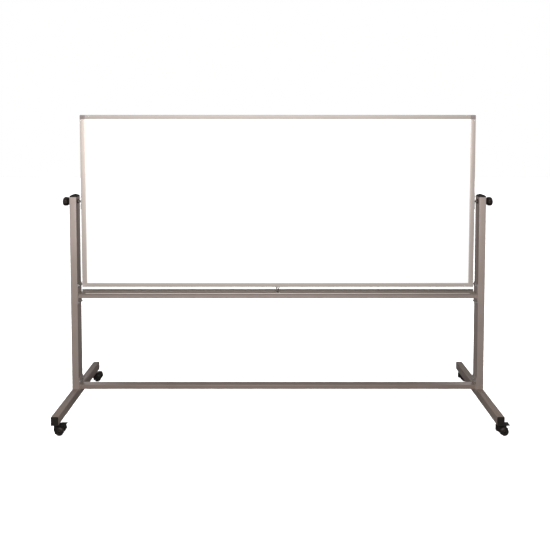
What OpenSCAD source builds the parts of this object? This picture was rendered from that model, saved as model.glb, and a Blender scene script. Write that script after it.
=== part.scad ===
// Rolling reversible whiteboard: a framed two-sided board that flips end over end between two posts,
// on a wheeled stand with a marker tray.
// Frame: millimetres, origin on the floor under the middle of the stand, +X along the board,
// +Y from the front face to the back face, +Z up.

/* [Board] */
// Outside width of the framed board
board_w = 2444; // [1800:2:2600]
// Outside height of the framed board
board_h = 1074; // [900:2:1090]
// Depth of the edge frame, front face to back face
board_t = 20; // [18:1:28]
// Width of the frame's top and bottom members seen from the front
rail_w = 25; // [22:1:32]
// Width of the frame's side members seen from the front
stile_w = 31; // [22:1:36]
// Height of the pivot axis above the floor
pivot_z = 1290; // [1280:1:1400]

/* [Stand] */
// Width of the post and foot tubes
tube_w = 42; // [38:1:46]
// Height of a foot tube
tube_d = 51; // [48:1:60]
// Depth of a post tube, front to back
post_d = 60; // [52:1:66]
// Wall of the steel tubes
tube_wall = 2; // [1.5:0.5:3]
// Gap between the board's edge and a post
side_gap = 22; // [21:1:40]
// Overall depth of a foot, end caps included
foot_len = 612; // [560:2:760]
// Height of the underside of a foot above the floor
foot_z = 62; // [61:1:66]
// Height of a crossbar tube
bar_h = 27; // [25:1:32]
// Depth of a crossbar tube
bar_d = 38; // [34:2:46]
// Height of the middle of the lower crossbar
lower_bar_z = 120.5; // [118:0.5:400]
// Height of the middle of the upper crossbar
upper_bar_z = 698; // [670:0.5:698]

/* [Tray] */
// Length of the tray's rolled front edge, without its end plugs
tray_len = 2384; // [1500:2:2400]
// Depth of the marker tray
tray_d = 65; // [60:1:72]
// Height of the tray's back wall above its underside
tray_back_h = 16; // [12:1:18]

/* [Knobs] */
// Largest radius of a clamping knob
knob_r = 27.5; // [24:0.5:30]
// Radius of the threaded pivot stud
stud_r = 6; // [5:0.5:6.5]

/* [Casters] */
// Radius of a caster wheel
wheel_r = 24; // [23:0.5:24]
// Distance from the swivel axis back to the axle
trail = 24; // [23:0.5:25]
// Distance of each swivel axis from the end of the foot
caster_inset = 29; // [28:1:80]

/* [Hidden] */
$fn = 48;
eps = 0.02;            // clearance of a fixed shaft in its hole
run = 0.05;            // radial clearance of a shaft that turns in its bore
gap = 0.3;             // end clearance between parts that turn against each other
over = 1;              // how far a cutter runs past the solid it cuts

// Board section, measured inward (q) from the outer edge of the frame
half_t = board_t / 2;
lip_t = 1.4;           // thickness of the lips that hold the panel
edge_wall = 1.6;       // outer wall of the rail
chamber_q = 9;         // inner end of the hollow chamber
web_q = 10.4;          // the panel butts against the rail here
panel_slack = 0.1;     // clearance of the panel in its slot
skin_slack = 0.5;      // gap between a writing skin and the lips round it
skin_t = 0.7;          // thickness of a writing skin
core_half = half_t - lip_t - panel_slack;
board_bottom = pivot_z - board_h / 2;
corner_w = stile_w + 1; // width of a corner piece
corner_h = rail_w + 1; // height of a corner piece
corner_r = 6;          // rounding of the board's outer corners
tongue_len = 35;       // how far a corner piece reaches into each rail
tongue_q = (edge_wall + chamber_q) / 2;
tongue_t = chamber_q - edge_wall - 2 * panel_slack;
stile_screw = 36;      // corner screw in a side rail, from the board's corner
rail_screw = 54;       // corner screw in a top or bottom rail, from the board's corner
tiny_r = 1.4;          // shank of the small screws
tiny_head_r = 2.7;
tiny_head_t = 1.1;
tiny_len = 8;

// Stand, measured out from the middle along X
post_in = board_w / 2 + side_gap;
post_out = post_in + tube_w;
post_x = post_in + tube_w / 2;
foot_top = foot_z + tube_d;
post_top = pivot_z + 30;
cap_t = 4;             // thickness of a foot's end cap
foot_tube_len = foot_len - 2 * cap_t;
plug_h = 20;
post_bolt_y = 17;      // the two bolts that hold a post on its foot
bolt_r = 4;
bolt_head_r = 6.8;
bolt_head_t = 5;

// Crossbar end brackets: a plate on the post, measured from the bar's middle
bracket_t = 3;
bracket_w = 56;
upper_plate = [-48, 80];
lower_plate = [-26, 61];
upper_bolts = [-41, 66];
lower_bolts = [38];
bracket_bolt_y = 18;
bar_end = post_in - bracket_t;
hex_r = 7;
hex_t = 5.5;
hex_shank_r = 4;
hex_washer_r = 8.5;
hex_washer_t = 1.4;
hex_proud = 1.5;       // end of the bolt beyond its nut

// Tray section: Y and Z of its parts
tray_z = upper_bar_z + bar_h / 2;
tray_t = 2;
tray_front = -36;
tray_back = tray_front + tray_d;
lip_r = 6.2;
lip_wall = 1.6;
lip_y = tray_front + lip_r;
lip_z = tray_z + tray_t - 0.4 + lip_r;
bead_r = 1.6;          // bead along the top of the back wall
tray_cap_t = 2.5;
tray_end = bar_end - 3; // the floor and the back wall stop short of the brackets
tray_screw_x = [-1000, -400, 400, 1000];
screw_r = 2;
screw_head_r = 4;
flush_head_t = 1.2;
screw_len = 12;

// Centre catch
fork_depth = 12;
fork_neck = 5.5;       // half width of the neck
fork_head = 14;        // half width of the head
fork_notch = 9.5;      // half width of the notch at its mouth
fork_base_t = 2;
fork_base_w = 34;
fork_top = board_bottom - 1;
fork_waist = fork_top - 15;
fork_screw_x = 11;
striker_r = 3;
striker_drop = 5;      // pin centre below the bottom rail

// Pivot stack, out from the board's edge
plate_t = 3;
plate_w = 18;
plate_h = 100;
plate_screw_z = 38;
spacer_r = 8;
flange_t = 2.5;
flange_r = 14;
bush_r = 8.5;
washer_t = 2;
washer_r = 13;
plate_out = board_w / 2 + plate_t;
flange_in = post_in - flange_t;
knob_in = post_out + washer_t + gap;
knob_len = 44;
knob_neck_r = 11;
knob_cone = 18;        // length of the tapered neck
knob_flutes = 8;
flute_r = 7;
flute_depth = 2.6;
insert_r = 8;
insert_len = 26;
stud_end = knob_in + insert_len - 1;

// Caster, in its own frame: swivel axis at x = 0, axle at x = trail, floor at z = 0
web_half = 7;          // half width of the web between the two wheels
wheel_in = 8;          // inner face of a wheel
wheel_out = 29.5;      // outer face of a wheel
dome_r = 33;           // rounding of the wheel's outer side
hood_clear = 1;        // between wheel and hood
hood_t = 2;
hood_half = 26;        // half width of the hood
hood_dome_r = 36;
hood_from = 40;        // the hood covers these angles round the axle, from the trailing side
hood_to = 212;
boss_r = 17;
boss_top = 48;
boss_low = 20;
neck_r = 9;
hex_low = 54.5;         // underside of the stem's hexagon
hex_across = 10;
journal_r = 4;
journal_low = 28;
thread_r = 5;
socket_r = 9;
socket_neck_r = 7;
socket_h = 24;
pin_r = 3;             // axle
pin_head_r = 5;
hub_r = 7;
hub_recess_r = 9;
hub_recess = 3.5;
washer_gap = 0.8;      // thrust washer between neck and hexagon
caster_y = foot_len / 2 - caster_inset;

// Brake lever, in the caster's frame
lever_x = 16;
lever_z = 54;
barrel_r = 3;
barrel_half = 7.3;
trunnion_r = 1.6;
lug_in = 7.6;
lug_t = 3;
lug_r = 3.8;
pedal_end = 58;
pedal_rise = 2;
pedal_t = 3;
pedal_half = 15;
shoe_x = 37.5;
shoe_t = 3;
shoe_low = 49.4;
window_from = 33;
window_to = 42;

silver = [0.70, 0.66, 0.63];
bright = [0.80, 0.78, 0.76];
black = [0.10, 0.10, 0.10];
zinc = [0.78, 0.79, 0.80];
white = [0.97, 0.97, 0.97];

// ---------- shared shapes ----------

// Repeats its children on the left and on the right side of the stand
module both_sides() {
    children();
    mirror([1, 0, 0]) children();
}

// Repeats its children at the front and at the back
module front_and_back() {
    children();
    mirror([0, 1, 0]) children();
}

// Lays a flat outline in the X-Z plane, with its thickness centred on y = 0
module upright(t) {
    rotate([90, 0, 0]) linear_extrude(height = t, center = true) children();
}

// A straight cylinder along X, from x0 to x1
module rod_x(x0, x1, r) {
    translate([x0, 0, 0]) rotate([0, 90, 0]) cylinder(h = x1 - x0, r = r);
}

// A straight cylinder along Y, from y0 to y1
module rod_y(y0, y1, r) {
    translate([0, y0, 0]) rotate([-90, 0, 0]) cylinder(h = y1 - y0, r = r);
}

// A box given by its lowest and highest corners
module block(low, high) {
    translate(low) cube(high - low);
}

// A rectangle with rounded corners, centred
module soft_rect(w, d, r) {
    square([w - 2 * r, d], center = true);
    square([w, d - 2 * r], center = true);
    for (x = [-1, 1], y = [-1, 1]) translate([x * (w / 2 - r), y * (d / 2 - r)]) circle(r = r, $fn = 24);
}

// Section of a square tube with rounded edges
module tube_section(w, d, r = 3) {
    difference() {
        soft_rect(w, d, r);
        soft_rect(w - 2 * tube_wall, d - 2 * tube_wall, r - tube_wall + 0.5);
    }
}

// ---------- board ----------

// Section of an edge rail: x is the depth of the board, y runs inward from the outer edge
module rail_section(w) {
    difference() {
        translate([-half_t, 0]) square([board_t, w]);
        translate([-half_t + lip_t, edge_wall]) square([board_t - 2 * lip_t, chamber_q - edge_wall]);
        translate([-half_t + lip_t, web_q]) square([board_t - 2 * lip_t, w]);
    }
}

// A rail along X whose outer edge is at z = 0 and whose panel side points up
module rail_along(len, w) {
    rotate([90, 0, 90]) linear_extrude(height = len, center = true) rail_section(w);
}

// Places its children at every corner screw: origin on the face of the rail, screw pointing into it
module corner_screw_places() {
    for (sx = [-1, 1], sz = [-1, 1], sy = [-1, 1]) {
        translate([sx * (board_w / 2 - tongue_q), sy * half_t, pivot_z + sz * (board_h / 2 - stile_screw)])
            rotate([sy * 90, 0, 0]) children();
        translate([sx * (board_w / 2 - rail_screw), sy * half_t, pivot_z + sz * (board_h / 2 - tongue_q)])
            rotate([sy * 90, 0, 0]) children();
    }
}

module corner_screw_holes() {
    corner_screw_places() translate([0, 0, -over]) cylinder(h = tiny_len + over, r = tiny_r + eps);
}

module horizontal_rail(side) {
    color(bright) difference() {
        translate([0, 0, pivot_z + side * board_h / 2]) mirror([0, 0, side > 0 ? 1 : 0])
            rail_along(board_w - 2 * corner_w, rail_w);
        corner_screw_holes();
    }
}

module side_rail(side) {
    color(bright) difference() {
        translate([side * board_w / 2, 0, pivot_z]) rotate([0, side > 0 ? -90 : 90, 0])
            rail_along(board_h - 2 * corner_h, stile_w);
        corner_screw_holes();
        plate_screw_places() cylinder(h = 2 * tiny_len, r = tiny_r + eps, center = true);
    }
}

module top_rail() { horizontal_rail(1); }
module bottom_rail() { horizontal_rail(-1); }
module left_rail() { side_rail(-1); }
module right_rail() { side_rail(1); }

// One corner piece for the corner at the origin, with the board towards -X and -Z
module corner_piece() {
    difference() {
        upright(board_t) difference() {
            translate([-corner_w, -corner_h]) square([corner_w, corner_h]);
            difference() {
                translate([-corner_r, -corner_r]) square(corner_r + over);
                translate([-corner_r, -corner_r]) circle(r = corner_r, $fn = 32);
            }
        }
        block([-corner_w - over, -half_t + lip_t, -corner_h - over],
              [-web_q, half_t - lip_t, -web_q]);
        block([-corner_w - over, -half_t - over, -corner_h - over],
              [-stile_w, half_t + over, -rail_w]);
    }
    block([-tongue_q - tongue_t / 2, -core_half, -corner_h - tongue_len],
          [-tongue_q + tongue_t / 2, core_half, -corner_h + over]);
    block([-corner_w - tongue_len, -core_half, -tongue_q - tongue_t / 2],
          [-corner_w + over, core_half, -tongue_q + tongue_t / 2]);
}

module corner_pair(side) {
    difference() {
        both_sides() translate([board_w / 2, 0, pivot_z]) mirror([0, 0, side > 0 ? 0 : 1])
            translate([0, 0, board_h / 2]) corner_piece();
        corner_screw_holes();
    }
}

module top_corner_caps() { color([0.55, 0.52, 0.51]) corner_pair(1); }
module bottom_corner_caps() { color(bright) corner_pair(-1); }

module corner_screws() {
    color(zinc) corner_screw_places() {
        translate([0, 0, -tiny_head_t]) cylinder(h = tiny_head_t, r = tiny_head_r, $fn = 24);
        cylinder(h = tiny_len - over, r = tiny_r, $fn = 24);
    }
}

module board_core() {
    w = board_w - 2 * web_q - 2 * panel_slack;
    h = board_h - 2 * web_q - 2 * panel_slack;
    color([0.76, 0.66, 0.48]) translate([0, 0, pivot_z])
        cube([w, 2 * core_half, h], center = true);
}

// Steel writing skin, inside the opening between the lips
module writing_skin(side) {
    w = board_w - 2 * stile_w - 2 * skin_slack;
    h = board_h - 2 * rail_w - 2 * skin_slack;
    y = side * (core_half + skin_t / 2);
    color(white) translate([0, y, pivot_z]) cube([w, skin_t, h], center = true);
}

module front_surface() { writing_skin(-1); }
module rear_surface() { writing_skin(1); }

// ---------- pivot ----------

// Places its children at the screws of both pivot plates, pointing in towards the board
module plate_screw_places() {
    both_sides() for (z = [-plate_screw_z, plate_screw_z])
        translate([board_w / 2, 0, pivot_z + z]) rotate([0, -90, 0]) children();
}

module pivot_plates() {
    color(zinc) difference() {
        both_sides() translate([plate_out - plate_t, 0, pivot_z]) rotate([90, 0, 90])
            linear_extrude(height = plate_t) soft_rect(plate_w, plate_h, 4);
        both_sides() translate([0, 0, pivot_z]) rod_x(board_w / 2 - over, plate_out + over, stud_r + eps);
        plate_screw_places() cylinder(h = 4 * plate_t, r = tiny_r + eps, center = true);
    }
}

module pivot_plate_screws() {
    color(zinc) plate_screw_places() {
        translate([0, 0, -plate_t - tiny_head_t]) cylinder(h = tiny_head_t, r = tiny_head_r, $fn = 24);
        translate([0, 0, -plate_t]) cylinder(h = plate_t + edge_wall + 4, r = tiny_r, $fn = 24);
    }
}

module pivot_studs() {
    color(zinc) both_sides() translate([0, 0, pivot_z]) rod_x(board_w / 2, stud_end, stud_r);
}

module pivot_spacers() {
    color([0.45, 0.43, 0.42]) both_sides() translate([0, 0, pivot_z]) difference() {
        rod_x(plate_out, flange_in - gap, spacer_r);
        rod_x(plate_out - over, flange_in + over, stud_r + eps);
    }
}

module pivot_bushings() {
    color(black) both_sides() translate([0, 0, pivot_z]) difference() {
        union() {
            rod_x(flange_in, post_in, flange_r);
            rod_x(post_in - over, post_out, bush_r);
        }
        rod_x(flange_in - over, post_out + over, stud_r + run);
    }
}

module pivot_washers() {
    color(zinc) both_sides() translate([0, 0, pivot_z]) difference() {
        rod_x(post_out, post_out + washer_t, washer_r);
        rod_x(post_out - over, post_out + washer_t + over, stud_r + run);
    }
}

// Knob on the +X side, seen from its own base at x = 0
module knob_shape() {
    profile = [[0, 0], [knob_neck_r, 0], [knob_neck_r, 3],
               [knob_r - 2, knob_cone], [knob_r, knob_cone + 2],
               [knob_r, knob_len - 7], [knob_r - 2, knob_len - 3.5],
               [knob_r - 7, knob_len - 1.2], [0, knob_len]];
    difference() {
        rotate([0, 90, 0]) rotate_extrude() polygon(profile);
        for (i = [0 : knob_flutes - 1]) rotate([i * 360 / knob_flutes, 0, 0])
            translate([0, 0, knob_r + flute_r - flute_depth]) rod_x(knob_cone - 4, knob_len + over, flute_r);
        rod_x(-over, insert_len, insert_r + eps);
    }
}

module insert_shape() {
    difference() {
        rod_x(0, insert_len, insert_r);
        rod_x(-over, insert_len + over, stud_r + run);
    }
}

module knob_right() { color(black) translate([knob_in, 0, pivot_z]) knob_shape(); }
module knob_left() { color(black) mirror([1, 0, 0]) translate([knob_in, 0, pivot_z]) knob_shape(); }
module knob_insert_right() { color("goldenrod") translate([knob_in, 0, pivot_z]) insert_shape(); }
module knob_insert_left() {
    color("goldenrod") mirror([1, 0, 0]) translate([knob_in, 0, pivot_z]) insert_shape();
}

// ---------- stand ----------

// Places its children at every crossbar bracket bolt of the +X side, pointing out into the post
module bracket_bolt_places() {
    heights = concat([for (up = lower_bolts) lower_bar_z + up], [for (up = upper_bolts) upper_bar_z + up]);
    for (z = heights, y = [-bracket_bolt_y, bracket_bolt_y])
        translate([bar_end, y, z]) rotate([0, 90, 0]) children();
}

module post() {
    difference() {
        translate([post_x, 0, foot_top]) linear_extrude(height = post_top - foot_top)
            tube_section(tube_w, post_d);
        translate([0, 0, pivot_z]) rod_x(post_in - over, post_out + over, bush_r + eps);
        bracket_bolt_places() cylinder(h = 4 * bracket_t, r = hex_shank_r + eps);
    }
}

module right_post() { color(silver) post(); }
module left_post() { color(silver) mirror([1, 0, 0]) post(); }

module post_caps() {
    skirt_w = tube_w - 2 * tube_wall - 0.2;
    skirt_d = post_d - 2 * tube_wall - 0.2;
    rise = 17;
    dome = 55;
    color(black) both_sides() {
        translate([post_x, 0, post_top - 12]) linear_extrude(height = 13) soft_rect(skirt_w, skirt_d, 1.5);
        intersection() {
            translate([post_x, 0, post_top]) linear_extrude(height = rise + over)
                soft_rect(tube_w, post_d, 4);
            translate([post_x, 0, post_top + rise - dome]) sphere(r = dome, $fn = 96);
        }
    }
}

module post_plugs() {
    color(zinc) both_sides() difference() {
        translate([post_x, 0, foot_top]) linear_extrude(height = plug_h)
            soft_rect(tube_w - 2 * tube_wall - 0.2, post_d - 2 * tube_wall - 0.2, 1.5);
        for (y = [-post_bolt_y, post_bolt_y]) translate([post_x, y, foot_top - over])
            cylinder(h = plug_h + 2 * over, r = bolt_r + eps);
    }
}

module foot_bolts() {
    color(zinc) both_sides() for (y = [-post_bolt_y, post_bolt_y])
        translate([post_x, y, foot_top - tube_wall]) {
            translate([0, 0, -bolt_head_t]) cylinder(h = bolt_head_t, r = bolt_head_r, $fn = 6);
            cylinder(h = tube_wall + plug_h - 2, r = bolt_r);
        }
}

// Places its children on the four swivel axes, at floor level
module caster_places() {
    for (x = [-post_x, post_x], y = [-caster_y, caster_y]) translate([x, y, 0]) children();
}

module foot() {
    difference() {
        translate([post_x, 0, foot_z + tube_d / 2]) rotate([90, 0, 0])
            linear_extrude(height = foot_tube_len, center = true) tube_section(tube_w, tube_d);
        for (y = [-post_bolt_y, post_bolt_y]) translate([post_x, y, foot_z]) {
            translate([0, 0, -over]) cylinder(h = tube_wall + 2 * over, r = bolt_head_r + 1.5);
            translate([0, 0, tube_d - 2 * tube_wall]) cylinder(h = 3 * tube_wall, r = bolt_r + eps);
        }
        for (y = [-caster_y, caster_y]) translate([post_x, y, foot_z - over])
            cylinder(h = tube_wall + 2 * over, r = socket_neck_r + eps);
    }
}

module right_foot() { color(silver) foot(); }
module left_foot() { color(silver) mirror([1, 0, 0]) foot(); }

module foot_end_caps() {
    color(black) both_sides() front_and_back() translate([post_x, foot_tube_len / 2, foot_z + tube_d / 2]) {
        rotate([-90, 0, 0]) linear_extrude(height = cap_t) soft_rect(tube_w, tube_d, 4);
        rotate([90, 0, 0]) linear_extrude(height = 12)
            soft_rect(tube_w - 2 * tube_wall - 0.2, tube_d - 2 * tube_wall - 0.2, 1.5);
    }
}

module caster_sockets() {
    color(zinc) caster_places() translate([0, 0, foot_z]) difference() {
        union() {
            cylinder(h = tube_wall + over, r = socket_neck_r);
            translate([0, 0, tube_wall]) cylinder(h = socket_h, r = socket_r);
        }
        translate([0, 0, -over]) cylinder(h = socket_h + 4 * over, r = thread_r + eps);
    }
}

module crossbar(z) {
    translate([0, 0, z]) rotate([90, 0, 90]) linear_extrude(height = 2 * bar_end, center = true)
        tube_section(bar_d, bar_h, 2.5);
}

module lower_crossbar() { color(silver) crossbar(lower_bar_z); }

module upper_crossbar() {
    color(silver) difference() {
        crossbar(upper_bar_z);
        tray_screw_places() translate([0, 0, -screw_len]) cylinder(h = screw_len + over, r = screw_r + eps);
        fork_screw_places() translate([0, 0, -screw_len]) cylinder(h = screw_len + over, r = screw_r + eps);
    }
}

// One bracket of the +X side: a plate on the post, from low to high
module bracket(low, high) {
    difference() {
        translate([bar_end, 0, (low + high) / 2]) rotate([90, 0, 90]) linear_extrude(height = bracket_t)
            soft_rect(bracket_w, high - low, 5);
        bracket_bolt_places() translate([0, 0, -over])
            cylinder(h = bracket_t + 2 * over, r = hex_shank_r + eps);
    }
}

module crossbar_brackets() {
    color(silver) both_sides() {
        bracket(lower_bar_z + lower_plate[0], lower_bar_z + lower_plate[1]);
        bracket(upper_bar_z + upper_plate[0], upper_bar_z + upper_plate[1]);
    }
}

// Bolts with their washers and nuts, threaded ends towards the board
module bracket_bolts() {
    color(zinc) both_sides() bracket_bolt_places() {
        translate([0, 0, -hex_washer_t]) cylinder(h = hex_washer_t, r = hex_washer_r);
        translate([0, 0, -hex_washer_t - hex_t]) cylinder(h = hex_t, r = hex_r, $fn = 6);
        translate([0, 0, -hex_washer_t - hex_t - hex_proud])
            cylinder(h = hex_proud + hex_t + hex_washer_t + bracket_t + tube_wall + 6, r = hex_shank_r);
    }
}

// ---------- tray and catch ----------

// Lays a section along the tray: its x is depth (front negative), its y is height
module along_tray(len) {
    rotate([90, 0, 90]) linear_extrude(height = len, center = true) children();
}

// Places its children on the tray's floor, at the screws that hold it to the crossbar
module tray_screw_places() {
    for (x = tray_screw_x) translate([x, 0, tray_z + tray_t]) children();
}

// Places its children on the fork's base, at its two screws
module fork_screw_places() {
    for (x = [-fork_screw_x, fork_screw_x]) translate([x, 0, tray_z + tray_t + fork_base_t]) children();
}

module tray_floor() {
    color(bright) difference() {
        along_tray(2 * tray_end) translate([lip_y, tray_z]) square([tray_back - tray_t - lip_y, tray_t]);
        tray_screw_places() {
            translate([0, 0, -screw_len]) cylinder(h = screw_len + over, r = screw_r + eps);
            translate([0, 0, -flush_head_t]) cylinder(h = flush_head_t + over, r = screw_head_r + eps);
        }
        fork_screw_places() translate([0, 0, -screw_len]) cylinder(h = screw_len + over, r = screw_r + eps);
    }
}

// Rolled front edge, flat where it lies on the floor
module tray_lip() {
    color(bright) along_tray(tray_len) difference() {
        translate([lip_y, lip_z]) circle(r = lip_r);
        translate([lip_y, lip_z]) circle(r = lip_r - lip_wall);
        translate([tray_front, tray_z]) square([2 * lip_r, tray_t]);
    }
}

// Upright back edge with a small bead along its top
module tray_back_wall() {
    color(bright) along_tray(2 * tray_end) {
        translate([tray_back - tray_t, tray_z]) square([tray_t, tray_back_h]);
        translate([tray_back - tray_t + bead_r / 4, tray_z + tray_back_h - bead_r])
            circle(r = bead_r, $fn = 24);
    }
}

// Plugs in the ends of the rolled edge
module tray_end_caps() {
    color(black) both_sides() translate([tray_len / 2, 0, 0]) {
        translate([0, lip_y, lip_z]) rod_x(-8, over, lip_r - lip_wall - 0.1);
        rotate([90, 0, 90]) linear_extrude(height = tray_cap_t) difference() {
            translate([lip_y, lip_z]) circle(r = lip_r);
            translate([tray_front, tray_z - over]) square([3 * lip_r, tray_t + over]);
        }
    }
}

module tray_screws() {
    color(zinc) {
        tray_screw_places() {
            translate([0, 0, -flush_head_t]) cylinder(h = flush_head_t, r = screw_head_r, $fn = 24);
            translate([0, 0, -screw_len + over])
                cylinder(h = screw_len - flush_head_t - over / 2, r = screw_r);
        }
        fork_screw_places() {
            cylinder(h = 2, r = screw_head_r, $fn = 24);
            translate([0, 0, -screw_len + over]) cylinder(h = screw_len - over / 2, r = screw_r);
        }
    }
}

module catch_fork() {
    base = tray_z + tray_t;
    outline = [[-fork_neck, base], [-fork_neck, fork_waist - 4], [-fork_head, fork_top],
               [-fork_notch, fork_top], [-1.5, fork_waist], [1.5, fork_waist], [fork_notch, fork_top],
               [fork_head, fork_top], [fork_neck, fork_waist - 4], [fork_neck, base]];
    color([0.42, 0.40, 0.38]) difference() {
        union() {
            upright(fork_depth) polygon(outline);
            block([-fork_base_w / 2, -fork_depth / 2, base],
                  [fork_base_w / 2, fork_depth / 2, base + fork_base_t]);
        }
        fork_screw_places() cylinder(h = 4 * fork_base_t, r = screw_r + eps, center = true);
    }
}

// Pin under the bottom rail that passes through the fork's notch as the board flips
module catch_striker() {
    pin_z = board_bottom - striker_drop;
    color(zinc) {
        translate([0, 0, pin_z]) rod_y(-fork_depth / 2, fork_depth / 2, striker_r);
        block([-1.5, -fork_depth / 2, pin_z], [1.5, fork_depth / 2, board_bottom]);
    }
}

// ---------- casters ----------

module caster_stems() {
    color(zinc) caster_places() {
        translate([0, 0, foot_z - over]) cylinder(h = over + socket_h - 2, r = thread_r);
        translate([0, 0, hex_low]) cylinder(h = foot_z - hex_low, r = hex_across, $fn = 6);
        translate([0, 0, journal_low]) cylinder(h = hex_low - journal_low + over, r = journal_r);
    }
}

module caster_washers() {
    color(zinc) caster_places() translate([0, 0, hex_low - washer_gap]) difference() {
        cylinder(h = washer_gap, r = neck_r);
        translate([0, 0, -over]) cylinder(h = washer_gap + 2 * over, r = journal_r + eps);
    }
}

// Pie slice of radius r between two angles, with its corner at the origin
module slice(r, from, to) {
    steps = 8;
    polygon(concat([[0, 0]],
        [for (i = [0 : steps]) let (a = from + (to - from) * i / steps) [r * cos(a), r * sin(a)]]));
}

// A cylinder along the axle, as wide as 2 * half, with its sides rounded by a sphere
module rounded_drum(r, half, dome) {
    translate([trail, 0, wheel_r]) intersection() {
        rod_y(-half, half, r);
        sphere(r = dome, $fn = 96);
    }
}

module hood() {
    outer = wheel_r + hood_clear + hood_t;
    intersection() {
        difference() {
            rounded_drum(outer, hood_half, hood_dome_r);
            translate([trail, 0, wheel_r]) rod_y(-hood_half - over, hood_half + over, wheel_r + hood_clear);
        }
        translate([trail, 0, wheel_r]) upright(2 * hood_half + 2) slice(2 * outer, hood_from, hood_to);
    }
}

// Web between the wheels: a disc round the axle joined to the swivel boss
module web() {
    upright(2 * web_half) union() {
        translate([trail, wheel_r]) circle(r = 12);
        intersection() {
            translate([trail, wheel_r]) circle(r = wheel_r + hood_clear + 0.5);
            translate([trail, wheel_r]) slice(2 * wheel_r, hood_from - 10, hood_to - 10);
        }
    }
}

module brake_lugs() {
    front_and_back() translate([0, lug_in, 0]) difference() {
        union() {
            translate([lever_x, 0, lever_z]) rod_y(0, lug_t, lug_r);
            block([lever_x - lug_r, 0, boss_top - 2], [lever_x + lug_r, lug_t, lever_z]);
        }
        translate([lever_x, 0, lever_z]) rod_y(-over, lug_t + over, trunnion_r + run);
    }
}

module brake_windows() {
    front_and_back() block([window_from, web_half + 1, boss_top - 14],
                           [window_to, hood_half - 5, boss_top + 4]);
}

module housing_shape(braked) {
    difference() {
        union() {
            hood();
            web();
            translate([0, 0, boss_low]) cylinder(h = boss_top - boss_low, r = boss_r);
            translate([0, 0, boss_low]) cylinder(h = hex_low - washer_gap - gap - boss_low, r = neck_r);
            if (braked) brake_lugs();
        }
        front_and_back() translate([trail, 0, wheel_r])
            rod_y(web_half, 2 * hood_half, wheel_r + hood_clear);
        translate([0, 0, journal_low - 2]) cylinder(h = hex_low, r = journal_r + run);
        translate([trail, 0, wheel_r]) rod_y(-hood_half, hood_half, pin_r + eps);
        if (braked) {
            brake_windows();
            translate([lever_x, 0, lever_z]) rod_y(-barrel_half - gap, barrel_half + gap, barrel_r + gap);
        }
    }
}

module axle_shape() {
    translate([trail, 0, wheel_r]) {
        rod_y(-wheel_out + hub_recess / 2, wheel_out - hub_recess / 2, pin_r);
        front_and_back() rod_y(wheel_out - hub_recess + gap, wheel_out - 0.7, pin_head_r);
    }
}

// One wheel of a pair, on the +Y side of the web
module wheel_shape() {
    difference() {
        union() {
            intersection() {
                rounded_drum(wheel_r, wheel_out, dome_r);
                translate([trail, 0, wheel_r]) rod_y(wheel_in, wheel_out, 2 * wheel_r);
            }
            translate([trail, 0, wheel_r]) rod_y(web_half + 0.5, wheel_in + over, hub_r);
        }
        translate([trail, 0, wheel_r]) {
            rod_y(0, 2 * wheel_out, pin_r + run);
            rod_y(wheel_out - hub_recess, 2 * wheel_out, hub_recess_r);
            difference() {
                rod_y(wheel_out - 2, 2 * wheel_out, 18);
                rod_y(wheel_out - 3, 2 * wheel_out, 12);
            }
        }
    }
}

// Point of the pedal's side outline: along it from the hinge, and out from its middle plane
function pedal_point(along, out) =
    let (slope = atan2(pedal_rise, pedal_end - lever_x))
    [lever_x + along * cos(slope) - out * sin(slope), lever_z + along * sin(slope) + out * cos(slope)];

module lever_shape() {
    reach = pedal_end - lever_x;
    half = pedal_t / 2;
    translate([lever_x, 0, lever_z]) {
        rod_y(-barrel_half, barrel_half, barrel_r);
        rod_y(-lug_in - lug_t + 0.4, lug_in + lug_t - 0.4, trunnion_r);
    }
    upright(2 * barrel_half - 1.6)
        polygon([pedal_point(0, -half), pedal_point(8, -half), pedal_point(8, half), pedal_point(0, half)]);
    upright(2 * pedal_half)
        polygon([pedal_point(6, -half), pedal_point(reach - 4, -half), pedal_point(reach, 0.2),
                 pedal_point(reach, half + 1), pedal_point(reach - 3, half + 1), pedal_point(reach - 5, half),
                 pedal_point(6, half)]);
    front_and_back() block([shoe_x - shoe_t / 2, web_half + 2, shoe_low],
                           [shoe_x + shoe_t / 2, pedal_half - 1, lever_z + 2]);
}

module at_caster(side, end) {
    translate([side * post_x, end * caster_y, 0]) children();
}

module caster_housing_front_left() { color(black) at_caster(-1, -1) housing_shape(true); }
module caster_housing_front_right() { color(black) at_caster(1, -1) housing_shape(true); }
module caster_housing_rear_left() { color(black) at_caster(-1, 1) housing_shape(false); }
module caster_housing_rear_right() { color(black) at_caster(1, 1) housing_shape(false); }

module caster_axle_front_left() { color(zinc) at_caster(-1, -1) axle_shape(); }
module caster_axle_front_right() { color(zinc) at_caster(1, -1) axle_shape(); }
module caster_axle_rear_left() { color(zinc) at_caster(-1, 1) axle_shape(); }
module caster_axle_rear_right() { color(zinc) at_caster(1, 1) axle_shape(); }

module wheel_front_left_a() { color(black) at_caster(-1, -1) mirror([0, 1, 0]) wheel_shape(); }
module wheel_front_left_b() { color(black) at_caster(-1, -1) wheel_shape(); }
module wheel_front_right_a() { color(black) at_caster(1, -1) mirror([0, 1, 0]) wheel_shape(); }
module wheel_front_right_b() { color(black) at_caster(1, -1) wheel_shape(); }
module wheel_rear_left_a() { color(black) at_caster(-1, 1) mirror([0, 1, 0]) wheel_shape(); }
module wheel_rear_left_b() { color(black) at_caster(-1, 1) wheel_shape(); }
module wheel_rear_right_a() { color(black) at_caster(1, 1) mirror([0, 1, 0]) wheel_shape(); }
module wheel_rear_right_b() { color(black) at_caster(1, 1) wheel_shape(); }

module brake_lever_left() { color(black) at_caster(-1, -1) lever_shape(); }
module brake_lever_right() { color(black) at_caster(1, -1) lever_shape(); }

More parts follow.
